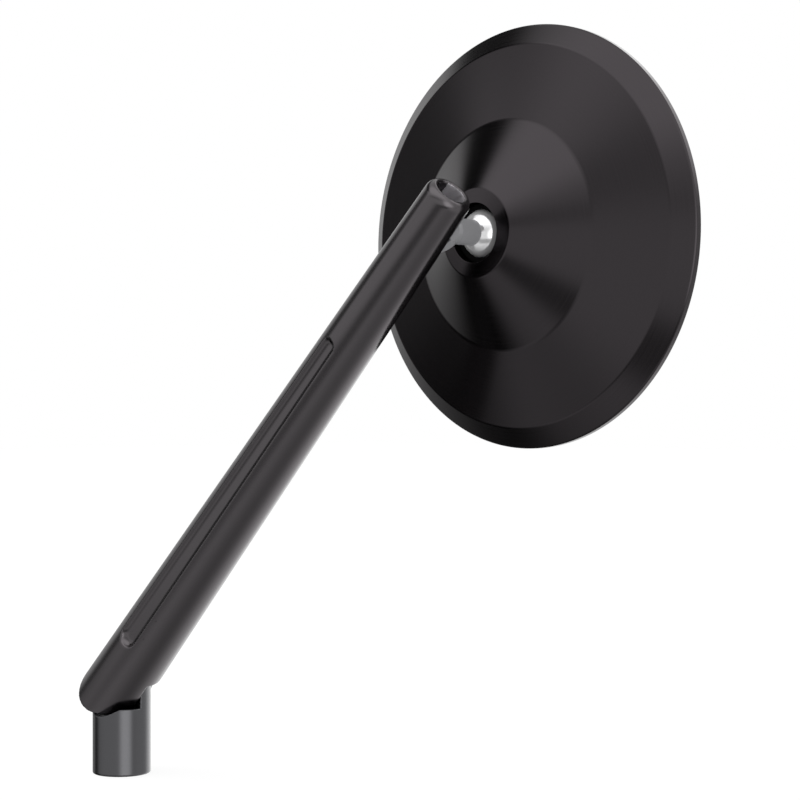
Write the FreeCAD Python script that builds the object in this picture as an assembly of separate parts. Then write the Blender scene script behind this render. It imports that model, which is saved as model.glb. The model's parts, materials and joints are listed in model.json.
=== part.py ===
import FreeCAD
import Part
import math
import os

# Motorcycle mirror: a tapped post, a tapered arm that tilts on it in a half-lap joint,
# and a round mirror head that swivels on a ball stud at the arm's top end.
# All sizes are in millimetres and degrees.

# Post
post_diameter = 15.2
post_edge_break = 0.3
mount_bore = 8.8                  # tapping size of an M10 x 1.25 thread
mount_depth = 11.0
drill_point_angle = 118.0
post_web = 1.94                   # metal left between the tapped hole and the lap joint

# Arm
arm_lean = 45.0                   # from the vertical, towards +X
arm_length = 169.8                # pivot to the top end
arm_root_diameter = 17.14         # at the pivot
arm_end_diameter = 11.12          # at the top end
arm_end_round = 2.4
groove_start = 15.5               # pivot to the groove's lower end
groove_end_setback = 46.3         # top end of the arm to the groove's upper end
groove_root_width = 6.0
groove_tip_width = 4.0
groove_depth = 1.5
end_bore_diameter = 7.6
end_bore_depth = 4.2
end_bore_break = 0.4

# Half-lap tilt joint
tongue_face = 0.45                # tongue's flat, from the arm's mid-plane
shoulder_reach = 7.0              # pivot to the flat of each shoulder
lap_overhang = 0.1                # round end of each half beyond the arm's root radius
lap_clearance = 0.25              # round end of one half to the hollow shoulder of the other
friction_washer_diameter = 13.0
friction_washer_thickness = 0.5
tongue_web = 2.6                  # tongue's thickness under the screw's washer
pivot_pin_diameter = 6.0
pivot_pin_clearance = 0.05
pivot_thread_diameter = 5.0
pivot_thread_length = 6.0
pivot_thread_runout = 0.5
pivot_head_diameter = 9.0
pivot_head_height = 2.8
pivot_head_break = 0.3
pivot_head_clearance = 0.4
pivot_socket_flats = 3.0
pivot_socket_depth = 1.8
pivot_washer_thickness = 0.6
pivot_spring_thickness = 0.4
pivot_spring_height = 0.75

# Ball stud and the screw that locks it
stud_setback = 11.4               # top end of the arm to the stud's axis
spot_face = 3.2                   # stud's seat on the arm, from the arm's axis
spot_face_clearance = 0.5
stud_hex_flats = 9.0
stud_hex_height = 1.5             # at its corners
stud_hex_turn = 1.5
stud_taper_length = 4.2           # cone from the hexagon's corners down to the neck
stud_thread_diameter = 6.0
stud_thread_length = 6.2
stud_thread_chamfer = 0.5
stud_hole_runout = 0.5
stud_neck_diameter = 6.0
ball_diameter = 12.0
ball_offset = 20.2                # arm's mid-plane to the ball's centre
set_screw_diameter = 6.0
set_screw_length = 4.0
set_screw_point = 4.0             # diameter of its flat point
set_screw_socket_flats = 3.0
set_screw_socket_depth = 2.0
thread_clearance = 0.03           # radial, for every thread drawn as a plain cylinder

# Ball socket, stacked from the ball towards the glass
ball_clearance = 0.05             # between the ball and each spherical seat
seat_wall = 0.9                   # seat's nose, beyond the ball
seat_fit = 0.05
seat_front = 0.3                  # seat's flange in front of the ball's centre
seat_flange_back = 1.1            # seat's flange behind the ball's centre
seat_lip_angle = 24.0             # how far the seat wraps behind the ball's widest circle
liner_thickness = 1.0
liner_half_angle = 60.0
cup_wall = 1.32
cup_clearance = 0.08
cup_rim_station = 1.0             # cup's rear rim in front of the ball's centre
cup_web = 1.8
cup_spring_bore = 8.2
cup_spring_thickness = 0.6
cup_spring_height = 1.1
ring_thread_step = 0.5            # ring's thread is this much larger in radius than the cup's bore
ring_thread_runout = 0.1
ring_thickness = 2.4
ring_recess = 0.4
ring_bore = 9.0
spanner_hole_diameter = 2.0

# Mirror head
head_diameter = 100.0
rim_land = 2.0
rim_edge_break = 0.3
rim_wall = 2.8                    # rim around the glass
bevel_width = 4.8
bevel_depth = 3.1
dish_diameter = 53.9              # where the shallow cone meets the steep one
dish_depth = 4.3
hub_diameter = 20.8
hub_face_rise = 0.5
hub_setback = 4.5                 # ball's centre to the hub's rear edge
head_wall = 2.3
bond_land = 9.2                   # width of the flat that the glass is bonded to
boss_wall = 2.5
glass_thickness = 2.0
glass_curve = 1200.0              # convex front
glass_gap = 0.2                   # around the glass in its pocket
glass_recess = 0.2                # glass edge below the rim
pad_thickness = 0.3
pad_setback = 0.6

# Places that follow from the sizes above
lap_radius = arm_root_diameter / 2 + lap_overhang
hollow_radius = lap_radius + lap_clearance
post_radius = post_diameter / 2
drill_point = mount_bore / 2 / math.tan(math.radians(drill_point_angle / 2))
pivot_height = mount_depth + drill_point + post_web + hollow_radius
cheek_face = tongue_face - friction_washer_thickness
counterbore_floor = tongue_face + tongue_web
spring_seat = counterbore_floor + pivot_washer_thickness
head_seat = spring_seat + pivot_spring_height
stud_reach = arm_length - stud_setback
groove_end = arm_length - groove_end_setback
ball_radius = ball_diameter / 2
seat_radius = ball_radius + ball_clearance
liner_radius = seat_radius + liner_thickness
cup_hollow = liner_radius + ball_clearance
cup_radius = cup_hollow + cup_wall
cup_bore_radius = cup_radius + cup_clearance
nose_radius = ball_radius + seat_wall
socket_radius = nose_radius + seat_fit
cup_front = cup_hollow + cup_web
ring_back = cup_front + cup_spring_height
ring_front = ring_back + ring_thickness
ring_radius = cup_bore_radius + ring_thread_step
boss_radius = ring_radius + boss_wall
pocket_floor = ring_front + ring_recess
glass_back_edge = pocket_floor + pad_thickness
glass_front_edge = glass_back_edge + glass_thickness
rim_front = glass_front_edge + glass_recess
rim_back = rim_front - rim_land
head_radius = head_diameter / 2
pocket_radius = head_radius - rim_wall
glass_radius = pocket_radius - glass_gap
land_radius = pocket_radius - bond_land

origin = FreeCAD.Vector(0, 0, 0)
axis_x = FreeCAD.Vector(1, 0, 0)
axis_y = FreeCAD.Vector(0, 1, 0)
axis_z = FreeCAD.Vector(0, 0, 1)
pivot_point = FreeCAD.Vector(0, 0, pivot_height)
lean = math.radians(arm_lean)
ball_centre = pivot_point + FreeCAD.Vector(
    stud_reach * math.sin(lean), ball_offset, stud_reach * math.cos(lean))
far = 2 * (arm_length + head_diameter)     # reach of the cutting blocks


def turned(points):
    """Solid of revolution about Z from (radius, station) points."""
    corners = [FreeCAD.Vector(radius, 0, station) for radius, station in points]
    face = Part.Face(Part.makePolygon(corners + corners[:1]))
    return face.revolve(origin, axis_z, 360)


def turned_edges(edges):
    """Solid of revolution about Z from a closed run of section edges."""
    return Part.Face(Part.Wire(edges)).revolve(origin, axis_z, 360)


def section_point(radius, angle, centre=0.0):
    """Point of a circle about the axis in the section plane, at an angle from +Z."""
    turn = math.radians(angle)
    return FreeCAD.Vector(radius * math.sin(turn), 0, centre + radius * math.cos(turn))


def section_arc(radius, start, end, centre=0.0):
    """Arc in the section plane between two angles from +Z."""
    stops = [section_point(radius, angle, centre) for angle in (start, (start + end) / 2, end)]
    return Part.Arc(*stops).toShape()


def section_line(start, end):
    return Part.LineSegment(start, end).toShape()


def hexagon(flats, start, end, turn=0.0):
    """Hexagonal prism about Z with a corner at the given turn from +X."""
    corner = flats / math.sqrt(3)
    points = []
    for step in range(7):
        angle = math.radians(turn + 60 * step)
        points.append(FreeCAD.Vector(corner * math.cos(angle), corner * math.sin(angle), start))
    return Part.Face(Part.makePolygon(points)).extrude(axis_z * (end - start))


def disc_spring(inner_radius, outer_radius, thickness, height, base):
    """Conical spring washer whose inner edge rests on the base station."""
    return turned([
        (inner_radius, base),
        (outer_radius, base + height - thickness),
        (outer_radius, base + height),
        (inner_radius, base + thickness),
    ])


def block_from(corner, size):
    return Part.makeBox(size.x, size.y, size.z, corner)


def cylinder_along_y(radius, start, end, x=0.0, z=0.0):
    return Part.makeCylinder(radius, end - start, FreeCAD.Vector(x, start, z), axis_y)


def along_y(shape, place):
    """Turn a shape made about Z so that +Z becomes +Y, and move it to its place."""
    shape.rotate(origin, axis_x, -90)
    shape.translate(place)
    return shape


def on_arm(shape):
    """Lean a shape made about the upright arm axis and move it to the pivot."""
    shape.rotate(origin, axis_y, arm_lean)
    shape.translate(pivot_point)
    return shape


def arm_radius(station):
    taper = (arm_end_diameter - arm_root_diameter) / 2 / arm_length
    return arm_root_diameter / 2 + taper * station


def base_post():
    top = pivot_height + lap_radius
    post = turned([
        (0, 0),
        (post_radius - post_edge_break, 0),
        (post_radius, post_edge_break),
        (post_radius, top),
        (0, top),
    ])
    half = far / 2
    round_end = cylinder_along_y(lap_radius, -half, half, z=pivot_height)
    above_pivot = block_from(
        FreeCAD.Vector(-half, -half, pivot_height), FreeCAD.Vector(far, far, far))
    post = post.cut(above_pivot.cut(round_end))
    shoulder = pivot_height - shoulder_reach
    lap_waste = block_from(
        FreeCAD.Vector(-half, -half, shoulder), FreeCAD.Vector(far, half + tongue_face, far))
    hollow = cylinder_along_y(hollow_radius, -half, tongue_face, z=pivot_height)
    post = post.cut(lap_waste).cut(hollow)
    mount_hole = turned([
        (0, 0),
        (mount_bore / 2, 0),
        (mount_bore / 2, mount_depth),
        (0, mount_depth + drill_point),
    ])
    pin_hole = cylinder_along_y(
        pivot_pin_diameter / 2 + pivot_pin_clearance, 0, half, z=pivot_height)
    counterbore = cylinder_along_y(
        pivot_head_diameter / 2 + pivot_head_clearance, counterbore_floor, half, z=pivot_height)
    return post.cut(mount_hole).cut(pin_hole).cut(counterbore)


def groove_cutter():
    """Tapered slot with round ends; its floor follows the arm's taper at an even depth."""
    root = groove_root_width / 2
    tip = groove_tip_width / 2

    def floor_point(x, station):
        return FreeCAD.Vector(x, groove_depth - arm_radius(station), station)

    low_centre = groove_start + root
    high_centre = groove_end - tip
    edges = [
        Part.Arc(floor_point(-root, low_centre), floor_point(0, groove_start),
                 floor_point(root, low_centre)).toShape(),
        section_line(floor_point(root, low_centre), floor_point(tip, high_centre)),
        Part.Arc(floor_point(tip, high_centre), floor_point(0, groove_end),
                 floor_point(-tip, high_centre)).toShape(),
        section_line(floor_point(-tip, high_centre), floor_point(-root, low_centre)),
    ]
    return Part.Face(Part.Wire(edges)).extrude(axis_y * -arm_root_diameter)


def mirror_arm():
    half = far / 2
    low = -lap_radius
    bar = Part.makeCone(
        arm_radius(low), arm_radius(arm_length), arm_length - low, FreeCAD.Vector(0, 0, low), axis_z)
    top_edge = [edge for edge in bar.Edges if edge.BoundBox.ZMin > arm_length / 2 and edge.isClosed()]
    bar = bar.makeFillet(arm_end_round, top_edge)
    lap_waste = block_from(
        FreeCAD.Vector(-half, cheek_face, -half), FreeCAD.Vector(far, far, half + shoulder_reach))
    hollow = cylinder_along_y(hollow_radius, cheek_face, half)
    bar = bar.cut(lap_waste).cut(hollow)
    round_end = cylinder_along_y(lap_radius, -half, half)
    above_pivot = block_from(FreeCAD.Vector(-half, -half, 0), FreeCAD.Vector(far, far, far))
    bar = bar.common(above_pivot.fuse(round_end))
    bar = bar.cut(groove_cutter())
    bar = bar.cut(cylinder_along_y(
        pivot_thread_diameter / 2 + thread_clearance,
        cheek_face - pivot_thread_length - pivot_thread_runout, cheek_face))
    hex_corner = stud_hex_flats / math.sqrt(3)
    bar = bar.cut(cylinder_along_y(
        hex_corner + spot_face_clearance, spot_face, half, z=stud_reach))
    bar = bar.cut(cylinder_along_y(
        stud_thread_diameter / 2 + thread_clearance,
        spot_face - stud_thread_length - stud_hole_runout, spot_face, z=stud_reach))
    bore = end_bore_diameter / 2
    tapped = set_screw_diameter / 2 + thread_clearance
    end_hole = turned([
        (0, stud_reach),
        (tapped, stud_reach),
        (tapped, arm_length - end_bore_depth),
        (bore, arm_length - end_bore_depth),
        (bore, arm_length - end_bore_break),
        (bore + end_bore_break, arm_length),
        (0, arm_length),
    ])
    return on_arm(bar.cut(end_hole))


def stud_set_screw():
    low = stud_reach + stud_thread_diameter / 2
    high = low + set_screw_length
    radius = set_screw_diameter / 2
    point = set_screw_point / 2
    screw = turned([
        (0, low),
        (point, low),
        (radius, low + radius - point),
        (radius, high),
        (0, high),
    ])
    return on_arm(screw.cut(hexagon(set_screw_socket_flats, high - set_screw_socket_depth, high)))


def friction_washer():
    washer = turned([
        (pivot_pin_diameter / 2 + pivot_pin_clearance, cheek_face),
        (friction_washer_diameter / 2, cheek_face),
        (friction_washer_diameter / 2, tongue_face),
        (pivot_pin_diameter / 2 + pivot_pin_clearance, tongue_face),
    ])
    return along_y(washer, pivot_point)


def pivot_flat_washer():
    washer = turned([
        (pivot_pin_diameter / 2 + pivot_pin_clearance, counterbore_floor),
        (pivot_head_diameter / 2, counterbore_floor),
        (pivot_head_diameter / 2, spring_seat),
        (pivot_pin_diameter / 2 + pivot_pin_clearance, spring_seat),
    ])
    return along_y(washer, pivot_point)


def pivot_disc_spring():
    spring = disc_spring(
        pivot_pin_diameter / 2 + pivot_pin_clearance, pivot_head_diameter / 2,
        pivot_spring_thickness, pivot_spring_height, spring_seat)
    return along_y(spring, pivot_point)


def pivot_screw():
    head_top = head_seat + pivot_head_height
    head = pivot_head_diameter / 2
    screw = turned([
        (0, cheek_face - pivot_thread_length),
        (pivot_thread_diameter / 2, cheek_face - pivot_thread_length),
        (pivot_thread_diameter / 2, cheek_face),
        (pivot_pin_diameter / 2, cheek_face),
        (pivot_pin_diameter / 2, head_seat),
        (head, head_seat),
        (head, head_top - pivot_head_break),
        (head - pivot_head_break, head_top),
        (0, head_top),
    ])
    socket = hexagon(pivot_socket_flats, head_top - pivot_socket_depth, head_top)
    return along_y(screw.cut(socket), pivot_point)


def ball_stud():
    seat = spot_face - ball_offset
    hex_front = seat + stud_hex_height
    thread_end = seat - stud_thread_length
    thread = stud_thread_diameter / 2
    neck_radius = stud_neck_diameter / 2
    corner = stud_hex_flats / math.sqrt(3)
    taper_end = hex_front + stud_taper_length
    hex_blank = turned([
        (0, seat),
        (corner, seat),
        (corner, hex_front),
        (neck_radius, taper_end),
        (0, taper_end),
    ])
    collar = hexagon(stud_hex_flats, seat, taper_end, stud_hex_turn).common(hex_blank)
    shank = turned([
        (0, thread_end),
        (thread - stud_thread_chamfer, thread_end),
        (thread, thread_end + stud_thread_chamfer),
        (thread, seat),
        (0, seat),
    ])
    neck = Part.makeCylinder(neck_radius, -hex_front, FreeCAD.Vector(0, 0, hex_front), axis_z)
    ball = Part.makeSphere(ball_radius)
    stud = ball.fuse([neck, collar, shank]).removeSplitter()
    return along_y(stud, ball_centre)


def ball_seat():
    lip = 90 + seat_lip_angle
    equator = section_point(seat_radius, 90)
    lip_end = section_point(seat_radius, lip)
    flange = cup_bore_radius - seat_fit
    corners = [
        lip_end,
        FreeCAD.Vector(nose_radius, 0, lip_end.z),
        FreeCAD.Vector(nose_radius, 0, -seat_flange_back),
        FreeCAD.Vector(flange, 0, -seat_flange_back),
        FreeCAD.Vector(flange, 0, seat_front),
        FreeCAD.Vector(seat_radius, 0, seat_front),
        equator,
    ]
    edges = [section_line(start, end) for start, end in zip(corners, corners[1:])]
    return along_y(turned_edges(edges + [section_arc(seat_radius, 90, lip)]), ball_centre)


def friction_liner():
    edges = [
        section_line(section_point(seat_radius, 0), section_point(liner_radius, 0)),
        section_arc(liner_radius, 0, liner_half_angle),
        section_line(section_point(liner_radius, liner_half_angle),
                     section_point(seat_radius, liner_half_angle)),
        section_arc(seat_radius, liner_half_angle, 0),
    ]
    return along_y(turned_edges(edges), ball_centre)


def pressure_cup():
    rim_angle = math.degrees(math.acos(cup_rim_station / cup_hollow))
    rim = section_point(cup_hollow, rim_angle)
    corners = [
        rim,
        FreeCAD.Vector(cup_radius, 0, cup_rim_station),
        FreeCAD.Vector(cup_radius, 0, cup_front),
        FreeCAD.Vector(0, 0, cup_front),
        section_point(cup_hollow, 0),
    ]
    edges = [section_line(start, end) for start, end in zip(corners, corners[1:])]
    return along_y(turned_edges(edges + [section_arc(cup_hollow, 0, rim_angle)]), ball_centre)


def cup_disc_spring():
    spring = disc_spring(
        cup_spring_bore / 2, cup_radius, cup_spring_thickness, cup_spring_height, cup_front)
    return along_y(spring, ball_centre)


def retaining_ring():
    radius = ring_radius - thread_clearance
    bore = ring_bore / 2
    ring = turned([
        (bore, ring_back),
        (radius, ring_back),
        (radius, ring_front),
        (bore, ring_front),
    ])
    spanner_reach = (bore + radius) / 2
    for side in (-1, 1):
        ring = ring.cut(Part.makeCylinder(
            spanner_hole_diameter / 2, ring_thickness,
            FreeCAD.Vector(side * spanner_reach, 0, ring_back), axis_z))
    return along_y(ring, ball_centre)


def wall_line(low, high):
    """Slope and offset of a cone's inner side, one wall thickness inside its outer side."""
    slope = (high[1] - low[1]) / (high[0] - low[0])
    offset = low[1] - slope * low[0] + head_wall * math.hypot(1, slope)
    return slope, offset


def mirror_housing():
    hub = (hub_diameter / 2, hub_face_rise - hub_setback)
    bevel_foot = (head_radius - bevel_width, rim_back - bevel_depth)
    dish = (dish_diameter / 2, bevel_foot[1] - dish_depth)
    steep_slope, steep_offset = wall_line(hub, dish)
    shallow_slope, shallow_offset = wall_line(dish, bevel_foot)
    inner_dish = (steep_offset - shallow_offset) / (shallow_slope - steep_slope)
    ring_bore_end = ring_back - ring_thread_runout
    housing = turned([
        (socket_radius, -hub_setback),
        hub,
        dish,
        bevel_foot,
        (head_radius - rim_edge_break, rim_back),
        (head_radius, rim_back + rim_edge_break),
        (head_radius, rim_front - rim_edge_break),
        (head_radius - rim_edge_break, rim_front),
        (pocket_radius, rim_front),
        (pocket_radius, pocket_floor),
        (land_radius, pocket_floor),
        (land_radius, shallow_slope * land_radius + shallow_offset),
        (inner_dish, shallow_slope * inner_dish + shallow_offset),
        (boss_radius, steep_slope * boss_radius + steep_offset),
        (boss_radius, pocket_floor),
        (ring_radius, pocket_floor),
        (ring_radius, ring_bore_end),
        (cup_bore_radius, ring_bore_end),
        (cup_bore_radius, -seat_flange_back),
        (socket_radius, -seat_flange_back),
    ])
    return along_y(housing, ball_centre)


# The glass is a slice of two spheres about one centre on the mirror's axis.
glass_back_curve = glass_curve - glass_thickness
glass_centre = glass_back_edge - math.sqrt(glass_back_curve ** 2 - glass_radius ** 2)


def glass_angle(radius, curve):
    return math.degrees(math.asin(radius / curve))


def mirror_glass():
    back_edge = glass_angle(glass_radius, glass_back_curve)
    front_edge = glass_angle(glass_radius, glass_curve)
    edges = [
        section_line(section_point(glass_back_curve, 0, glass_centre),
                     section_point(glass_curve, 0, glass_centre)),
        section_arc(glass_curve, 0, front_edge, glass_centre),
        section_line(section_point(glass_curve, front_edge, glass_centre),
                     section_point(glass_back_curve, back_edge, glass_centre)),
        section_arc(glass_back_curve, back_edge, 0, glass_centre),
    ]
    return along_y(turned_edges(edges), ball_centre)


def adhesive_pad():
    outer = glass_radius - pad_setback
    inner = land_radius + pad_setback
    outer_angle = glass_angle(outer, glass_back_curve)
    inner_angle = glass_angle(inner, glass_back_curve)
    corners = [
        section_point(glass_back_curve, inner_angle, glass_centre),
        FreeCAD.Vector(inner, 0, pocket_floor),
        FreeCAD.Vector(outer, 0, pocket_floor),
        section_point(glass_back_curve, outer_angle, glass_centre),
    ]
    edges = [section_line(start, end) for start, end in zip(corners, corners[1:])]
    front = section_arc(glass_back_curve, outer_angle, inner_angle, glass_centre)
    return along_y(turned_edges(edges + [front]), ball_centre)


pieces = {
    "base_post": base_post,
    "pivot_friction_washer": friction_washer,
    "pivot_screw": pivot_screw,
    "pivot_disc_spring": pivot_disc_spring,
    "pivot_flat_washer": pivot_flat_washer,
    "mirror_arm": mirror_arm,
    "stud_set_screw": stud_set_screw,
    "ball_stud": ball_stud,
    "ball_seat": ball_seat,
    "friction_liner": friction_liner,
    "pressure_cup": pressure_cup,
    "cup_disc_spring": cup_disc_spring,
    "retaining_ring": retaining_ring,
    "mirror_housing": mirror_housing,
    "adhesive_pad": adhesive_pad,
    "mirror_glass": mirror_glass,
}

os.makedirs("parts", exist_ok=True)
for name, build in pieces.items():
    shape = build()
    shape.exportStep(os.path.join("parts", name + ".step"))
    box = shape.BoundBox
    print(f"{name}: {len(shape.Solids)} solid, valid {shape.isValid()}, {shape.Volume:.1f} mm3,"
          f" x {box.XMin:.2f} to {box.XMax:.2f}, y {box.YMin:.2f} to {box.YMax:.2f},"
          f" z {box.ZMin:.2f} to {box.ZMax:.2f}")
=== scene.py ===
import json
import math

import bmesh
import bpy
from mathutils import Matrix, Vector


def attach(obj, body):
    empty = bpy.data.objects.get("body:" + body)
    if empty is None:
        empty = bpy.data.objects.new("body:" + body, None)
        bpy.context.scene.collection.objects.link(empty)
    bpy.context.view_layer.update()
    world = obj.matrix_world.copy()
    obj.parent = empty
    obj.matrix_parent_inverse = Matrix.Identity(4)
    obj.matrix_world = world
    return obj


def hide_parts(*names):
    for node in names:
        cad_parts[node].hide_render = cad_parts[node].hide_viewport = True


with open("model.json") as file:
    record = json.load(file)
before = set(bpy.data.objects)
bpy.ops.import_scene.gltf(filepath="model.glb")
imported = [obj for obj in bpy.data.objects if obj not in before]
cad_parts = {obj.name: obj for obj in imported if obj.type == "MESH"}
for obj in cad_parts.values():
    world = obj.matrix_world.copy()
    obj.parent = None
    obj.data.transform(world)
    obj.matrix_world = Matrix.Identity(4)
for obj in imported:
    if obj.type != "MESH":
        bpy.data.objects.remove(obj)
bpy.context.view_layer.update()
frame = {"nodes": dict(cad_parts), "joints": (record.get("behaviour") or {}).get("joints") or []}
scene = bpy.context.scene
print("frame loaded")

mm = 0.001
tolerance = {"merge": 0.0005, "sliver": 0.002, "same": 0.001}     # in mm
joints = {joint["name"]: joint for joint in frame["joints"]}
pivotPoint = Vector(joints["arm_tilt"]["pos_m"])
ballCentre = Vector(joints["head_yaw"]["pos_m"])
armRun = ballCentre - pivotPoint
lean = math.atan2(armRun.x, armRun.z)
studReach = math.hypot(armRun.x, armRun.z) / mm     # pivot to the stud's axis, along the arm
pivotHeight = pivotPoint.z / mm

# the arm is drawn upright about Z, and turned pieces with Z towards the glass
armPlace = Matrix.Translation(pivotPoint) @ Matrix.Rotation(lean, 4, "Y")
headPlace = Matrix.Translation(ballCentre) @ Matrix.Rotation(-math.pi / 2, 4, "X")
pivotPlace = Matrix.Translation(pivotPoint) @ Matrix.Rotation(-math.pi / 2, 4, "X")


def linearColour(hexColour):
    channels = [int(hexColour[i:i + 2], 16) / 255 for i in (1, 3, 5)]
    return [c / 12.92 if c <= 0.04045 else ((c + 0.055) / 1.055) ** 2.4 for c in channels] + [1.0]


def addNode(tree, kind, settings=None, links=None):
    node = tree.nodes.new(kind)
    for key, value in (settings or {}).items():
        if isinstance(key, int) or key in node.inputs:
            node.inputs[key].default_value = value
        else:
            setattr(node, key, value)
    for key, socket in (links or {}).items():
        tree.links.new(socket, node.inputs[key])
    return node


# each finish: its colour, and a grain of the given size that varies the roughness and lifts the surface
finishes = {
    # bead-blasted black anodised aluminium: an even satin black that pales at grazing angles
    # real grit is about 0.1 mm, drawn coarser so that it shows
    "blastedAnodisedAluminium": {
        "colour": "#524f51", "metallic": 1.0, "roughness": (0.19, 0.23), "grainMm": 0.6, "bump": 0.012},
    # fine-blasted black anodised aluminium: lights show as soft upright bands with a faint sparkle
    "satinAnodisedAluminium": {
        "colour": "#515153", "metallic": 1.0, "roughness": (0.2, 0.26), "grainMm": 0.35, "bump": 0.02},
    # bare aluminium deep in the arm's bore, cut after anodising: dull grey, rough from the tool
    "boredAluminium": {
        "colour": "#b8b5b9", "metallic": 0.7, "roughness": (0.35, 0.6), "grainMm": 0.7, "bump": 1.0},
    # polished chrome plate with a milky bloom: a bright mirror that stays grey where the room is dark
    "polishedChrome": {
        "colour": "#eeeeef", "metallic": 0.5, "roughness": (0.05, 0.09), "grainMm": 0.8, "bump": 0.0},
    # zinc-flake coat on the stud's neck and hexagon: an even matt grey with a soft sheen
    "zincFlakeCoat": {
        "colour": "#bababd", "metallic": 0.3, "roughness": (0.3, 0.38), "grainMm": 0.3, "bump": 0.03},
    # turned and zinc-plated steel: mid grey with a soft gloss
    "zincPlatedSteel": {
        "colour": "#8f9092", "metallic": 1.0, "roughness": (0.3, 0.4), "grainMm": 0.3, "bump": 0.04},
    # oiled spring steel: brown-grey and dull
    "oiledSpringSteel": {
        "colour": "#6f6a63", "metallic": 1.0, "roughness": (0.35, 0.5), "grainMm": 0.5, "bump": 0.05},
    # worn black-oxide steel: dry grey, rough from its plating
    "blackOxideSteel": {
        "colour": "#8a8a8d", "metallic": 0.5, "roughness": (0.45, 0.6), "grainMm": 0.5, "bump": 0.4},
    # moulded black acetal, made near black and with its shine cut down: partly the plastic's own black, partly
    # painted shade for the deep recess round the ball
    "acetalWithPaintedShade": {
        "colour": "#020202", "metallic": 0.0, "roughness": (0.7, 0.85), "grainMm": 0.4, "bump": 0.04,
        "specular": 0.1},
    # closed-cell foam tape: matt charcoal with fine pores
    "acrylicFoam": {
        "colour": "#1b1b1c", "metallic": 0.0, "roughness": (0.8, 0.95), "grainMm": 0.3, "bump": 0.4},
    # silvered glass: a cool, clear mirror
    "silveredGlass": {
        "colour": "#e3e8ea", "metallic": 1.0, "roughness": (0.004, 0.012), "grainMm": 30, "bump": 0.0},
    # ground edge of the glass: frosted grey-green
    "groundGlassEdge": {
        "colour": "#6f7f7a", "metallic": 0.0, "roughness": (0.4, 0.55), "grainMm": 0.3, "bump": 0.15},
}
# the housing's finish is apart, because its tool marks are rings about the disc's axis
housingFinish = {
    "colour": "#383537", "metallic": 1.0, "roughness": (0.17, 0.23), "ringMm": 0.35, "bump": 0.02}
grainLow, grainHigh = 0.3, 0.7     # the values between which the noise mostly lies
grainLift = 0.1                    # height of the grain at full bump, in mm
plainSpecular = 0.5


def finishSurface(tree, grain, finish):
    smoothest, roughest = finish["roughness"]
    rough = addNode(tree, "ShaderNodeMapRange",
                    {"From Min": grainLow, "From Max": grainHigh, "To Min": smoothest, "To Max": roughest},
                    {"Value": grain.outputs["Fac"]})
    links = {"Roughness": rough.outputs["Result"]}
    if finish["bump"]:
        lifted = addNode(tree, "ShaderNodeBump", {"Strength": finish["bump"], "Distance": grainLift * mm},
                         {"Height": grain.outputs["Fac"]})
        links["Normal"] = lifted.outputs["Normal"]
    shader = addNode(tree, "ShaderNodeBsdfPrincipled",
                     {"Base Color": linearColour(finish["colour"]), "Metallic": finish["metallic"],
                      "Specular IOR Level": finish.get("specular", plainSpecular)}, links)
    addNode(tree, "ShaderNodeOutputMaterial", {}, {"Surface": shader.outputs["BSDF"]})


def newMaterial(name):
    material = bpy.data.materials.new(name)
    material.use_nodes = True
    material.node_tree.nodes.clear()
    return material


materials = {}
for name, finish in finishes.items():
    materials[name] = newMaterial(name)
    tree = materials[name].node_tree
    place = addNode(tree, "ShaderNodeTexCoord")
    sized = addNode(tree, "ShaderNodeMapping", {"Scale": [1 / (finish["grainMm"] * mm)] * 3},
                    {"Vector": place.outputs["Object"]})
    grain = addNode(tree, "ShaderNodeTexNoise", {"Scale": 1.0, "Detail": 3.0},
                    {"Vector": sized.outputs["Vector"]})
    finishSurface(tree, grain, finish)

# fine-turned black anodised aluminium: the cones mirror the room softly, in sectors
materials["turnedAnodisedAluminium"] = newMaterial("turnedAnodisedAluminium")
tree = materials["turnedAnodisedAluminium"].node_tree
place = addNode(tree, "ShaderNodeTexCoord")
centred = addNode(tree, "ShaderNodeMapping",
                  {"Location": (-ballCentre.x, 0, -ballCentre.z), "Scale": (1, 0, 1)},
                  {"Vector": place.outputs["Object"]})
radius = addNode(tree, "ShaderNodeVectorMath", {"operation": "LENGTH"}, {0: centred.outputs["Vector"]})
rings = addNode(tree, "ShaderNodeTexNoise",
                {"noise_dimensions": "1D", "Scale": 1 / (housingFinish["ringMm"] * mm), "Detail": 2.0},
                {"W": radius.outputs["Value"]})
finishSurface(tree, rings, housingFinish)
print("materials made:", len(materials))


def sectionAngle(point, centre):
    return math.atan2(point[0] - centre[0], point[1] - centre[1])


arcStep, fewestSteps = 4, 4     # degrees for each step of an arc, and the least number of steps


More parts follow.
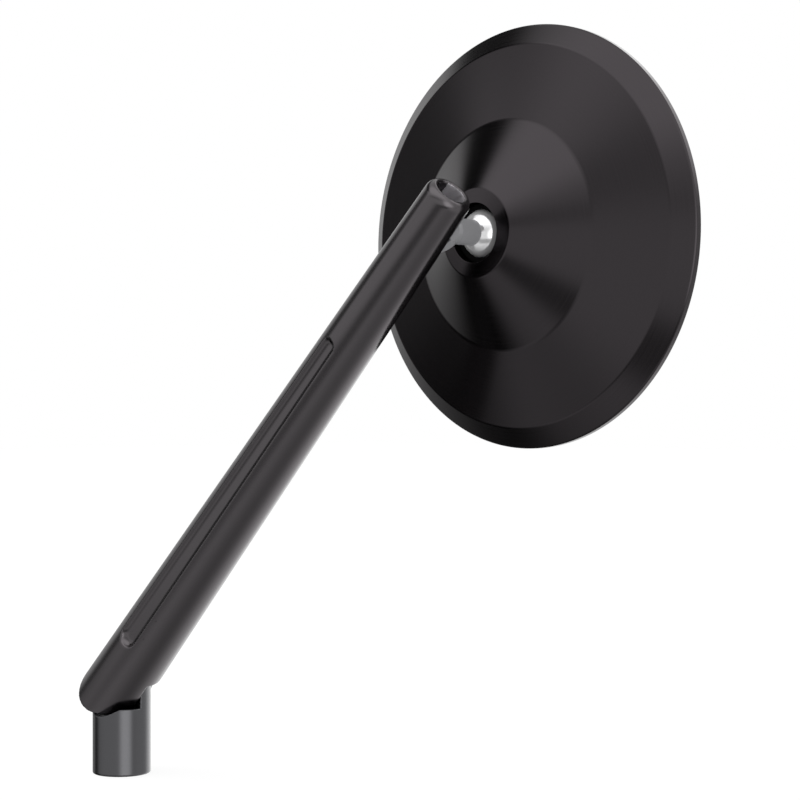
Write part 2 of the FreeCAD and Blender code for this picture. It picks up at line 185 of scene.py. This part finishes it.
# a profile is a run of (radius, station) corners in mm
# a third entry is the centre of an arc that leads to the corner
# rounds gives the length that a corner's rounding takes from each side, by the corner's number
def turned(profile, rounds=None, steps=192, closed=False):
    bm = bmesh.new()
    corners = []
    for number, point in enumerate(profile):
        if len(point) == 3:
            start, centre = profile[number - 1], point[2]
            turn = sectionAngle(point, centre) - sectionAngle(start, centre)
            arcSteps = max(fewestSteps, round(abs(math.degrees(turn)) / arcStep))
            arc = bmesh.ops.spin(bm, geom=[corners[-1]], cent=(centre[0] * mm, 0, centre[1] * mm),
                                 axis=(0, 1, 0), angle=turn, steps=arcSteps)
            corners.append([g for g in arc["geom_last"] if isinstance(g, bmesh.types.BMVert)][0])
        else:
            corners.append(bm.verts.new((point[0] * mm, 0, point[1] * mm)))
            if number:
                bm.edges.new(corners[-2:])
    if closed:
        bm.edges.new((corners[-1], corners[0]))
    for number, size in (rounds or {}).items():
        bmesh.ops.bevel(bm, geom=[corners[number]], offset=size * mm, offset_type="OFFSET",
                        affect="VERTICES", segments=5, profile=0.5, material=-1)
    bmesh.ops.spin(bm, geom=bm.verts[:] + bm.edges[:], cent=(0, 0, 0), axis=(0, 0, 1),
                   angle=2 * math.pi, steps=steps, use_merge=True)
    bmesh.ops.remove_doubles(bm, verts=bm.verts, dist=tolerance["merge"] * mm)
    bmesh.ops.recalc_face_normals(bm, faces=bm.faces)
    return bm


def block(low, high):
    bm = bmesh.new()
    bmesh.ops.create_cube(bm, size=1.0)
    low, high = Vector(low) * mm, Vector(high) * mm
    bmesh.ops.scale(bm, vec=high - low, verts=bm.verts)
    bmesh.ops.translate(bm, vec=(low + high) / 2, verts=bm.verts)
    return bm


# a round or hexagonal bar about Z
def bar(radius, start, end, segments=192):
    bm = bmesh.new()
    bmesh.ops.create_cone(bm, cap_ends=True, segments=segments, radius1=radius * mm, radius2=radius * mm,
                          depth=(end - start) * mm)
    bmesh.ops.translate(bm, vec=(0, 0, (start + end) / 2 * mm), verts=bm.verts)
    return bm


# a round bar along Y that crosses Z at the given height
def crossBar(radius, start, end, height=0.0):
    bm = bar(radius, start, end)
    bmesh.ops.rotate(bm, matrix=Matrix.Rotation(-math.pi / 2, 3, "X"), verts=bm.verts)
    bmesh.ops.translate(bm, vec=(0, 0, height * mm), verts=bm.verts)
    return bm


# a slab with two round ends in the X-Z plane, from one Y to another
def slot(lowRadius, highRadius, lowCentre, highCentre, start, end):
    bm = bmesh.new()
    bmesh.ops.create_circle(bm, cap_ends=True, segments=128, radius=lowRadius * mm)
    bmesh.ops.rotate(bm, matrix=Matrix.Rotation(math.pi / 2, 3, "X"), verts=bm.verts)
    upper = [vert for vert in bm.verts if vert.co.z > tolerance["same"] * mm]
    bmesh.ops.scale(bm, vec=[highRadius / lowRadius] * 3, verts=upper)
    bmesh.ops.translate(bm, vec=(0, 0, (highCentre - lowCentre) * mm), verts=upper)
    bmesh.ops.translate(bm, vec=(0, start * mm, lowCentre * mm), verts=bm.verts)
    pushed = bmesh.ops.extrude_face_region(bm, geom=bm.faces[:], use_keep_orig=True)["geom"]
    bmesh.ops.translate(bm, vec=(0, (end - start) * mm, 0),
                        verts=[g for g in pushed if isinstance(g, bmesh.types.BMVert)])
    bmesh.ops.recalc_face_normals(bm, faces=bm.faces)
    return bm


def placeInScene(name, bm):
    mesh = bpy.data.meshes.new(name)
    bm.to_mesh(mesh)
    bm.free()
    obj = bpy.data.objects.new(name, mesh)
    scene.collection.objects.link(obj)
    return obj


def takeResult(work, helpers):
    depsgraph = bpy.context.evaluated_depsgraph_get()
    mesh = bpy.data.meshes.new_from_object(work.evaluated_get(depsgraph))
    for obj in [work] + helpers:
        bpy.data.objects.remove(obj)
    bm = bmesh.new()
    bm.from_mesh(mesh)
    bpy.data.meshes.remove(mesh)
    return bm


def carve(blank, tools):
    work = placeInScene("blank", blank)
    cutters = []
    for operation, shape in tools:
        cutter = placeInScene("cutter", shape)
        cut = work.modifiers.new("cut", "BOOLEAN")
        cut.operation = operation
        cut.solver = "EXACT"
        cut.object = cutter
        cutters.append(cutter)
    result = takeResult(work, cutters)
    bmesh.ops.triangulate(result, faces=result.faces)
    # slivers along the cuts
    bmesh.ops.dissolve_degenerate(result, dist=tolerance["sliver"] * mm, edges=result.edges)
    return result


# drops the specks that a rebuilding grid leaves in sharp corners
def keepLargestShell(bm):
    left, shells = set(bm.faces), []
    while left:
        shell, waiting = [], [left.pop()]
        while waiting:
            face = waiting.pop()
            shell.append(face)
            found = {other for edge in face.edges for other in edge.link_faces} & left
            left -= found
            waiting.extend(found)
        shells.append(shell)
    shells.sort(key=len)
    specks = [face for shell in shells[:-1] for face in shell]
    bmesh.ops.delete(bm, geom=specks, context="FACES")


# the grid stands askew to the arm and the post, so that none of their edges steps along it
alongArm, askew = Vector((1, 0, 1)), Vector((0.81, 0.5, 0.31))
gridTurn = alongArm.rotation_difference(askew).to_matrix().to_4x4()


# rebuilds a cut shape on an even grid, relaxes it, which rounds every edge a little, and thins out its faces
def soften(bm, grain, passes, keep):
    bmesh.ops.transform(bm, matrix=gridTurn, verts=bm.verts)
    work = placeInScene("sharp", bm)
    rebuilt = work.modifiers.new("rebuild", "REMESH")
    rebuilt.mode = "VOXEL"
    rebuilt.voxel_size = grain * mm
    relaxed = work.modifiers.new("relax", "SMOOTH")
    relaxed.factor = 0.5
    relaxed.iterations = passes
    if keep < 1:
        thinned = work.modifiers.new("thin", "DECIMATE")
        thinned.ratio = keep
    softened = takeResult(work, [])
    keepLargestShell(softened)
    bmesh.ops.transform(softened, matrix=gridTurn.inverted(), verts=softened.verts)
    return softened


# second tells from a point in the piece's own axes whether it has the second finish
def addPiece(name, bm, place, body, finishNames, node,
             sharpAngle=30, weighted=False, softening=None, second=None):
    bmesh.ops.transform(bm, matrix=place, verts=bm.verts)
    if softening:
        bm = soften(bm, **softening)
    if second:
        back = place.inverted()
        for face in bm.faces:
            face.material_index = int(second(back @ face.calc_center_median()))
    piece = placeInScene(name, bm)
    piece.data.shade_smooth()
    if sharpAngle:
        piece.data.set_sharp_from_angle(angle=math.radians(sharpAngle))
    if weighted:     # flats keep their own direction beside small roundings
        even = piece.modifiers.new("evenShading", "WEIGHTED_NORMAL")
        even.weight = 100
        even.keep_sharp = True
    for finishName in finishNames:
        piece.data.materials.append(materials[finishName])
    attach(piece, body)
    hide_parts(node)
    print(name + ":", len(piece.data.polygons), "faces")


reach = 60.0     # how far the cutting tools run past the work, in mm
spare = 1.0      # a short run past a face

# post: a turned bar with a tongue at its top, a hollow shoulder beside it and a tapped foot
post = {"radius": 7.6, "footEdge": 0.3, "bore": 4.4, "boreDepth": 11.0, "drillPoint": 2.644,
        "endRadius": 8.67, "hollowRadius": 8.92, "tongueFace": 0.45, "shoulder": 7.0, "pinHole": 3.05,
        "counterbore": 4.9, "counterboreFloor": 3.05,
        "threadPitch": 1.25, "threadRadius": 5.0, "threadRunOut": 0.5,
        "softening": {"grain": 0.19, "passes": 5, "keep": 1.0}}
postTop = pivotHeight + post["endRadius"] + spare
# the thread is drawn as rings, which look the same inside the narrow hole
halfPitches = int(2 * post["boreDepth"] / post["threadPitch"]) - 1
threadTop = post["boreDepth"] - post["threadRunOut"]
threadProfile = [((post["bore"], post["threadRadius"])[number % 2],
                  threadTop - number * post["threadPitch"] / 2) for number in range(halfPitches)]
postBlank = turned([
    (0, post["boreDepth"] + post["drillPoint"]), (post["bore"], post["boreDepth"]), *threadProfile,
    (post["bore"], 0), (post["radius"] - post["footEdge"], 0), (post["radius"], post["footEdge"]),
    (post["radius"], postTop), (0, postTop)])
postShape = carve(postBlank, [
    ("INTERSECT", slot(post["endRadius"], post["endRadius"], -reach, pivotHeight, -reach, reach)),
    ("DIFFERENCE", block((-reach, -reach, pivotHeight - post["shoulder"]),
                         (reach, post["tongueFace"], 2 * reach))),
    ("DIFFERENCE", crossBar(post["hollowRadius"], -reach, post["tongueFace"], pivotHeight)),
    ("DIFFERENCE", crossBar(post["pinHole"], -spare, reach, pivotHeight)),
    ("DIFFERENCE", crossBar(post["counterbore"], post["counterboreFloor"], reach, pivotHeight)),
])
addPiece("post", postShape, Matrix.Identity(4), "post", ["satinAnodisedAluminium"],
         "base_post", sharpAngle=0, softening=post["softening"])

# arm: a tapered bar, rounded and bored at its top, grooved in front, half lapped at its foot
arm = {"rootRadius": 8.57, "endRadius": 5.56, "length": 169.8, "foot": -12.0, "endRound": 2.4,
       "lapRadius": 8.67, "hollowRadius": 8.92, "cheekFace": -0.05, "shoulder": 7.0,
       "grooveLow": 15.5, "grooveHigh": 123.5, "grooveRoot": 3.0, "grooveTip": 2.0, "grooveDepth": 1.5,
       "grooveFillet": 1.7, "lip": 4.3, "bore": 3.4, "boreDepth": 4.2, "boreEdge": 0.25, "boreSkin": 0.05,
       "paintedShadeSide": (-0.79, -0.61), "paintedShadeShare": 0.5, "tapped": 3.03, "spotFace": 3.2, "spotRadius": 5.7,
       "studHole": 3.03, "studHoleEnd": -3.5, "screwHole": 2.53, "screwHoleEnd": -6.55,
       "softening": {"grain": 0.2, "passes": 9, "keep": 0.29}}
armTaper = (arm["endRadius"] - arm["rootRadius"]) / arm["length"]
boreFloor = arm["length"] - arm["boreDepth"]
roundCentre = (arm["endRadius"] - arm["endRound"], arm["length"] - arm["endRound"])
lipTop = roundCentre[1] + math.sqrt(arm["endRound"] ** 2 - (arm["lip"] - roundCentre[0]) ** 2)
armBlank = turned([
    (0, arm["foot"]), (arm["rootRadius"] + armTaper * arm["foot"], arm["foot"]),
    (arm["endRadius"], roundCentre[1]), (arm["lip"], lipTop, roundCentre),
    (arm["bore"] + arm["boreEdge"], lipTop), (arm["bore"], lipTop - arm["boreEdge"]), (arm["bore"], boreFloor),
    (arm["tapped"], boreFloor), (arm["tapped"], studReach), (0, studReach)])
# the groove's floor runs with the taper and is rounded at its sides
groove = slot(arm["grooveRoot"], arm["grooveTip"], arm["grooveLow"] + arm["grooveRoot"],
              arm["grooveHigh"] - arm["grooveTip"], -reach, 0)
floorEdges = [edge for edge in groove.edges
              if max(abs(vert.co.y) for vert in edge.verts) < tolerance["same"] * mm]
bmesh.ops.bevel(groove, geom=floorEdges, offset=arm["grooveFillet"] * mm, offset_type="OFFSET",
                affect="EDGES", segments=8, profile=0.5, material=-1)
bmesh.ops.rotate(groove, matrix=Matrix.Rotation(math.atan(armTaper), 3, "X"), verts=groove.verts)
bmesh.ops.translate(groove, vec=(0, (arm["grooveDepth"] - arm["rootRadius"]) * mm, 0), verts=groove.verts)
armShape = carve(armBlank, [
    ("DIFFERENCE", block((-reach, arm["cheekFace"], -reach), (reach, reach, arm["shoulder"]))),
    ("DIFFERENCE", crossBar(arm["hollowRadius"], arm["cheekFace"], reach)),
    ("INTERSECT", slot(arm["lapRadius"], arm["lapRadius"], 0, 2 * arm["length"], -reach, reach)),
    ("DIFFERENCE", groove),
    ("DIFFERENCE", crossBar(arm["spotRadius"], arm["spotFace"], reach, studReach)),
    ("DIFFERENCE", crossBar(arm["studHole"], arm["studHoleEnd"], reach, studReach)),
    ("DIFFERENCE", crossBar(arm["screwHole"], arm["screwHoleEnd"], reach)),
])
# the bore is bare inside, but one side of its wall keeps the black anodised finish as painted shade, for the
# shade that falls on that side of the hole
boreLow, boreWall = (boreFloor - spare) * mm, (arm["bore"] + arm["boreSkin"]) * mm
paintedShadeSide = Vector(arm["paintedShadeSide"])
paintedShadeStart = arm["paintedShadeShare"] * arm["bore"] * mm
addPiece("arm", armShape, armPlace, "arm", ["blastedAnodisedAluminium", "boredAluminium"],
         "mirror_arm", sharpAngle=0, softening=arm["softening"],
         second=lambda point: point.z > boreLow and point.xy.length < boreWall
         and point.xy @ paintedShadeSide < paintedShadeStart)

# housing: one turned disc, from the hub over the two cones to the rim, then the glass pocket and the bores
housing = {"radius": 50.0, "rimBack": 13.3, "rimFront": 15.3, "rimEdge": 0.3, "socket": 6.95, "hub": 10.4,
           "hubFace": -4.5, "hubEdge": -4.0, "dish": 26.95, "dishStation": 5.9, "bevelFoot": 45.2,
           "bevelStation": 10.2, "pocket": 47.2, "pocketFloor": 12.8, "land": 38.0, "landFoot": 10.866,
           "innerDish": (26.07, 8.055), "boss": 11.5, "bossFoot": -0.662, "ringBore": 9.0, "ringBoreEnd": 9.9,
           "cupBore": 8.5, "seatStep": -1.1,
           "rounds": {0: 0.06, 1: 0.25, 2: 0.5, 3: 0.3, 4: 0.12, 5: 0.12, 6: 0.12, 7: 0.12, 8: 0.15}}
housingShape = turned([
    (housing["socket"], housing["hubFace"]), (housing["hub"], housing["hubEdge"]),
    (housing["dish"], housing["dishStation"]), (housing["bevelFoot"], housing["bevelStation"]),
    (housing["radius"] - housing["rimEdge"], housing["rimBack"]),
    (housing["radius"], housing["rimBack"] + housing["rimEdge"]),
    (housing["radius"], housing["rimFront"] - housing["rimEdge"]),
    (housing["radius"] - housing["rimEdge"], housing["rimFront"]), (housing["pocket"], housing["rimFront"]),
    (housing["pocket"], housing["pocketFloor"]), (housing["land"], housing["pocketFloor"]),
    (housing["land"], housing["landFoot"]), housing["innerDish"], (housing["boss"], housing["bossFoot"]),
    (housing["boss"], housing["pocketFloor"]),
    (housing["ringBore"], housing["pocketFloor"]), (housing["ringBore"], housing["ringBoreEnd"]),
    (housing["cupBore"], housing["ringBoreEnd"]), (housing["cupBore"], housing["seatStep"]),
    (housing["socket"], housing["seatStep"]),
], housing["rounds"], steps=256, closed=True)
addPiece("housing", housingShape, headPlace, "mirror_head", ["turnedAnodisedAluminium"],
         "mirror_housing", weighted=True)

# glass: a convex mirror with a ground edge
glass = {"radius": 47.0, "backEdge": 13.1, "frontEdge": 15.1, "curve": 1200.0, "edgeRound": 0.25,
         "groundWidth": 0.2525}
glassCentre = (0, glass["frontEdge"] - math.sqrt(glass["curve"] ** 2 - glass["radius"] ** 2))
glassCrown = glassCentre[1] + glass["curve"]
glassDepth = glass["frontEdge"] - glass["backEdge"]
glassShape = turned([
    (0, glassCrown - glassDepth), (glass["radius"], glass["backEdge"], (0, glassCentre[1] - glassDepth)),
    (glass["radius"], glass["frontEdge"]), (0, glassCrown, glassCentre)],
    {1: glass["edgeRound"], 2: glass["edgeRound"]}, steps=256)
edgeStart = (glass["radius"] - glass["groundWidth"]) * mm
addPiece("glass", glassShape, headPlace, "mirror_head", ["silveredGlass", "groundGlassEdge"],
         "mirror_glass", sharpAngle=20, second=lambda point: point.xy.length > edgeStart)

# ball stud: a polished ball on a matt neck, with a hexagon against the arm and a threaded end
stud = {"ball": 6.0, "neck": 3.0, "hexCorner": 5.196, "hexTurn": 1.5, "seat": -17.0, "hexFront": -15.5,
        "taperEnd": -11.3, "overlap": 0.5, "thread": 3.0, "threadEnd": -23.2, "threadChamfer": 0.5}
neckStation = -math.sqrt(stud["ball"] ** 2 - stud["neck"] ** 2)
hexBar = bar(stud["hexCorner"], stud["seat"] - spare, stud["taperEnd"] + spare, segments=6)
bmesh.ops.rotate(hexBar, matrix=Matrix.Rotation(math.radians(stud["hexTurn"]), 3, "Z"), verts=hexBar.verts)
# the collar's taper runs on into the neck
taperLength = stud["taperEnd"] - stud["hexFront"]
taperTip = stud["neck"] - stud["overlap"] * (stud["hexCorner"] - stud["neck"]) / taperLength
collar = turned([
    (0, stud["seat"]), (stud["hexCorner"], stud["seat"]), (stud["hexCorner"], stud["hexFront"]),
    (taperTip, stud["taperEnd"] + stud["overlap"]), (0, stud["taperEnd"] + stud["overlap"])])
shank = turned([
    (0, stud["threadEnd"]), (stud["thread"] - stud["threadChamfer"], stud["threadEnd"]),
    (stud["thread"], stud["threadEnd"] + stud["threadChamfer"]), (stud["neck"], neckStation),
    (0, stud["ball"], (0, 0))], steps=96)
studShape = carve(collar, [("INTERSECT", hexBar), ("UNION", shank)])
addPiece("ballStud", studShape, headPlace, "arm", ["polishedChrome", "zincFlakeCoat"],
         "ball_stud", sharpAngle=25, second=lambda point: point.z < neckStation * mm)

# ball seat: the black ring around the ball
seat = {"inner": 6.05, "nose": 6.9, "flange": 8.45, "flangeBack": -1.1, "front": 0.3, "lip": (5.527, -2.461),
        "rounds": {1: 0.1, 2: 0.2}}
seatShape = turned([
    (seat["inner"], 0), (*seat["lip"], (0, 0)), (seat["nose"], seat["lip"][1]),
    (seat["nose"], seat["flangeBack"]), (seat["flange"], seat["flangeBack"]),
    (seat["flange"], seat["front"]), (seat["inner"], seat["front"])],
    seat["rounds"], closed=True)
addPiece("ballSeat", seatShape, headPlace, "mirror_head", ["acetalWithPaintedShade"], "ball_seat",
         weighted=True)

# set screw in the arm's top end, with a hexagon socket
setScrew = {"radius": 3.0, "point": 2.0, "low": 3.0, "length": 4.0, "edge": 0.3, "socketCorner": 1.732,
            "socketDepth": 2.0}
screwLow = studReach + setScrew["low"]
screwHigh = screwLow + setScrew["length"]
setScrewBlank = turned([
    (0, screwLow), (setScrew["point"], screwLow),
    (setScrew["radius"], screwLow + setScrew["radius"] - setScrew["point"]),
    (setScrew["radius"], screwHigh), (0, screwHigh)], {3: setScrew["edge"]}, steps=64)
setScrewShape = carve(setScrewBlank, [
    ("DIFFERENCE", bar(setScrew["socketCorner"], screwHigh - setScrew["socketDepth"], screwHigh + spare,
                       segments=6))])
addPiece("setScrew", setScrewShape, armPlace, "arm", ["blackOxideSteel"], "stud_set_screw")

# pivot screw: a low head with a hexagon socket, in the tongue's counterbore
pivotScrew = {"head": 4.5, "headSeat": 4.4, "headTop": 7.2, "headEdge": 0.4, "pin": 3.0, "thread": 2.5,
              "threadStart": -0.05, "threadEnd": -6.05, "socketCorner": 1.732, "socketDepth": 1.8}
pivotScrewBlank = turned([
    (0, pivotScrew["threadEnd"]), (pivotScrew["thread"], pivotScrew["threadEnd"]),
    (pivotScrew["thread"], pivotScrew["threadStart"]), (pivotScrew["pin"], pivotScrew["threadStart"]),
    (pivotScrew["pin"], pivotScrew["headSeat"]), (pivotScrew["head"], pivotScrew["headSeat"]),
    (pivotScrew["head"], pivotScrew["headTop"]), (0, pivotScrew["headTop"])],
    {6: pivotScrew["headEdge"]}, steps=96)
pivotScrewShape = carve(pivotScrewBlank, [
    ("DIFFERENCE", bar(pivotScrew["socketCorner"], pivotScrew["headTop"] - pivotScrew["socketDepth"],
                       pivotScrew["headTop"] + spare, segments=6))])
addPiece("pivotScrew", pivotScrewShape, pivotPlace, "arm", ["zincPlatedSteel"],
         "pivot_screw")

# what stays as it is in the frame, mostly hidden inside the two joints
innerFinishes = {
    "pivot_friction_washer": "acetalWithPaintedShade", "pivot_disc_spring": "oiledSpringSteel",
    "pivot_flat_washer": "zincPlatedSteel", "friction_liner": "acetalWithPaintedShade",
    "pressure_cup": "zincPlatedSteel", "cup_disc_spring": "oiledSpringSteel",
    "retaining_ring": "zincPlatedSteel", "adhesive_pad": "acrylicFoam"}
for node, finishName in innerFinishes.items():
    innerMesh = frame["nodes"][node].data
    innerMesh.materials.clear()
    innerMesh.materials.append(materials[finishName])
print("pieces made")

# a pale floor that is white to the camera, keeps part of the shadow and is clear from below
floor = {"size": 6.0, "height": -0.02, "colour": "#f2f2f2", "whiteShare": 0.8, "white": 1.12}
floorShape = bmesh.new()
bmesh.ops.create_grid(floorShape, x_segments=1, y_segments=1, size=floor["size"] / 2)
bmesh.ops.translate(floorShape, vec=(0, 0, floor["height"] * mm), verts=floorShape.verts)
floorPiece = placeInScene("floor", floorShape)
floorPiece.visible_glossy = False     # metal mirrors the room's own lower half
floorMaterial = newMaterial("paleFloor")
tree = floorMaterial.node_tree
paths = addNode(tree, "ShaderNodeLightPath")
seen = addNode(tree, "ShaderNodeMath", {"operation": "MAXIMUM"},
               {0: paths.outputs["Is Camera Ray"], 1: paths.outputs["Is Transmission Ray"]})
share = addNode(tree, "ShaderNodeMath", {"operation": "MULTIPLY", 1: floor["whiteShare"]},
                {0: seen.outputs[0]})
matt = addNode(tree, "ShaderNodeBsdfDiffuse", {"Color": linearColour(floor["colour"])})
white = addNode(tree, "ShaderNodeEmission", {"Strength": floor["white"]})
mixed = addNode(tree, "ShaderNodeMixShader", {},
                {0: share.outputs[0], 1: matt.outputs[0], 2: white.outputs[0]})
side = addNode(tree, "ShaderNodeNewGeometry")
clear = addNode(tree, "ShaderNodeBsdfTransparent")
oneSided = addNode(tree, "ShaderNodeMixShader", {},
                   {0: side.outputs["Backfacing"], 1: mixed.outputs[0], 2: clear.outputs[0]})
addNode(tree, "ShaderNodeOutputMaterial", {}, {"Surface": oneSided.outputs[0]})
floorPiece.data.materials.append(floorMaterial)

# a white room with soft dark flags and soft lights, which the metal mirrors
# azimuth runs from -Y towards -X; angles are in degrees, and a level multiplies the room's own
room = {"plain": 0.6, "mirrored": 1.0, "seen": 1.0}
panels = {
    "leftFlag": {"azimuth": 104, "elevation": -52, "width": 37, "height": 75, "softness": 0.7, "level": 0.16},
    "lowFlag": {"azimuth": 66, "elevation": -26, "width": 17, "height": 24, "softness": 0.45, "level": 0.02},
    "highFlag": {"azimuth": 89, "elevation": 40, "width": 38, "height": 10, "softness": 0.4, "level": 0.08},
    "narrowFlag": {"azimuth": 73, "elevation": 21, "width": 13, "height": 29, "softness": 0.41, "level": 0.18},
    "frontFlag": {"azimuth": 2, "elevation": 15, "width": 38, "height": 6, "softness": 0.5, "level": 0.65},
    "tableEdge": {"azimuth": -29, "elevation": -37, "width": 75, "height": 10, "softness": 0.53, "level": 0.28},
    "topLight": {"azimuth": -19, "elevation": 59, "width": 69, "height": 27, "softness": 0.41, "level": 1.92},
    "backLight": {"azimuth": 165, "elevation": -25, "width": 28, "height": 62, "softness": 0.35, "level": 2.0},
    "rimLight": {"azimuth": -165, "elevation": 38, "width": 36, "height": 20, "softness": 0.4, "level": 2.6},
    "sideLight": {"azimuth": -68, "elevation": -9, "width": 21, "height": 27, "softness": 0.47, "level": 2.6},
}
world = bpy.data.worlds.new("whiteRoom")
scene.world = world
world.use_nodes = True
world.cycles.sampling_method = "NONE"     # so that each kind of ray sees its own level
tree = world.node_tree
tree.nodes.clear()
ray = addNode(tree, "ShaderNodeTexCoord")
paths = addNode(tree, "ShaderNodeLightPath")
seenLevel = addNode(tree, "ShaderNodeValue")
seenLevel.outputs[0].default_value = room["mirrored"]
for panel in panels.values():
    turn = math.radians(-90 - panel["azimuth"])
    around = addNode(tree, "ShaderNodeMapping", {
        "vector_type": "TEXTURE", "Rotation": (0, -math.radians(panel["elevation"]), turn),
        "Scale": (1, math.sin(math.radians(panel["width"])), math.sin(math.radians(panel["height"])))},
        {"Vector": ray.outputs["Generated"]})
    away = addNode(tree, "ShaderNodeVectorMath", {"operation": "DISTANCE", 1: (1, 0, 0)},
                   {0: around.outputs["Vector"]})
    shaded = addNode(tree, "ShaderNodeMapRange", {
        "interpolation_type": "SMOOTHSTEP", "From Min": 1 - panel["softness"],
        "From Max": 1 + panel["softness"], "To Min": panel["level"], "To Max": 1.0},
        {"Value": away.outputs["Value"]})
    seenLevel = addNode(tree, "ShaderNodeMath", {"operation": "MULTIPLY"},
                        {0: seenLevel.outputs[0], 1: shaded.outputs[0]})
metal = addNode(tree, "ShaderNodeMix", {"A": room["plain"]},
                {"Factor": paths.outputs["Is Glossy Ray"], "B": seenLevel.outputs[0]})
direct = addNode(tree, "ShaderNodeMath", {"operation": "MAXIMUM"},
                 {0: paths.outputs["Is Camera Ray"], 1: paths.outputs["Is Transmission Ray"]})
strength = addNode(tree, "ShaderNodeMix", {"B": room["seen"]},
                   {"Factor": direct.outputs[0], "A": metal.outputs[0]})
background = addNode(tree, "ShaderNodeBackground", {"Color": (1, 1, 1, 1)},
                     {"Strength": strength.outputs[0]})
addNode(tree, "ShaderNodeOutputWorld", {}, {"Surface": background.outputs[0]})

# an overhead softbox drops the shadow; the metal mirrors the room's own lights instead
softbox = {"place": (-0.2, -0.5, 1.3), "aim": (0.06, 0, 0.08), "size": 0.9, "watts": 5.0}
softboxData = bpy.data.lights.new("softbox", "AREA")
softboxData.size = softbox["size"]
softboxData.energy = softbox["watts"]
lamp = bpy.data.objects.new("softbox", softboxData)
lamp.location = softbox["place"]
beam = Vector(softbox["aim"]) - Vector(softbox["place"])
lamp.rotation_euler = beam.to_track_quat("-Z", "Y").to_euler()
lamp.visible_glossy = False
scene.collection.objects.link(lamp)

# camera at the photo's height and angle
view = {"place": (0.4355, -0.3319, 0.098), "turn": 45.0, "lens": 92.745, "sensor": 36.0}
cameraData = bpy.data.cameras.new("photoCamera")
cameraData.lens = view["lens"]
cameraData.sensor_width = view["sensor"]
camera = bpy.data.objects.new("photoCamera", cameraData)
camera.location = view["place"]
camera.rotation_euler = (math.pi / 2, 0, math.radians(view["turn"]))
scene.collection.objects.link(camera)
scene.camera = camera
scene.view_settings.view_transform = "Standard"
print("stage set")
